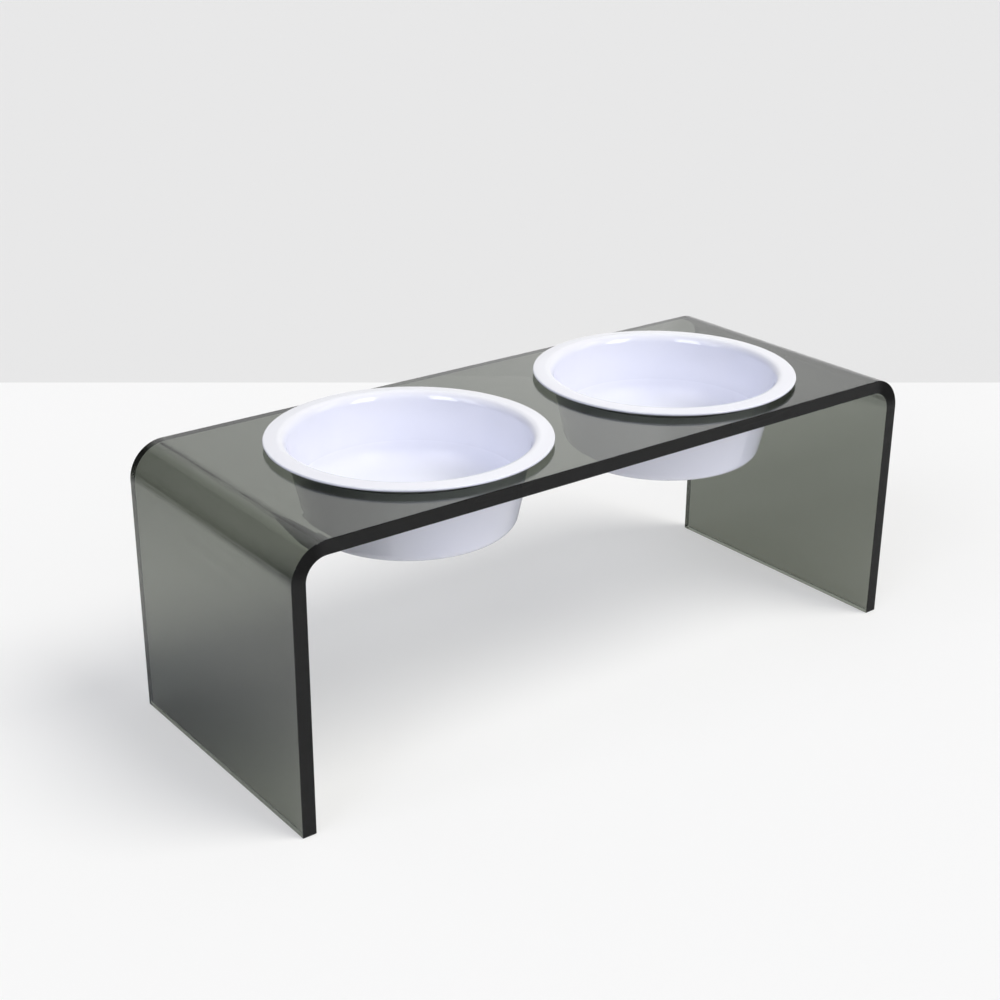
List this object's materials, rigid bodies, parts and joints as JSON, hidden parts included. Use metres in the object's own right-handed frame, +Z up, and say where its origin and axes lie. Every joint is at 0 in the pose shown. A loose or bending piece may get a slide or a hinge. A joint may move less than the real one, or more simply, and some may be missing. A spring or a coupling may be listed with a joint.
{
  "type": "raised double pet bowl",
  "caption": "Raised feeder: a bent sheet of smoked acrylic with two round holes, each carrying a flared white bowl that lifts out.",
  "frame": {"origin": "on the floor, under the middle of the stand", "axes": "+X along the stand to its right leg, +Y to its back, +Z up"},
  "size_m": [0.5, 0.198, 0.1914],
  "materials": {
    "smoked_acrylic": "polished, clear grey-green tint",
    "bowl_glaze": "glossy white glaze with a cool tint"
  },
  "bodies": {
    "stand": {"stand": "smoked_acrylic"},
    "left_bowl": {"left_bowl": "bowl_glaze"},
    "right_bowl": {"right_bowl": "bowl_glaze"}
  },
  "joints": [
    {"name": "left_bowl_lift", "type": "slide", "parent": "stand", "child": "left_bowl", "axis": [0, 0, 1], "range_m": [0, 0.1]},
    {"name": "right_bowl_lift", "type": "slide", "parent": "stand", "child": "right_bowl", "axis": [0, 0, 1], "range_m": [0, 0.1]}
  ]
}
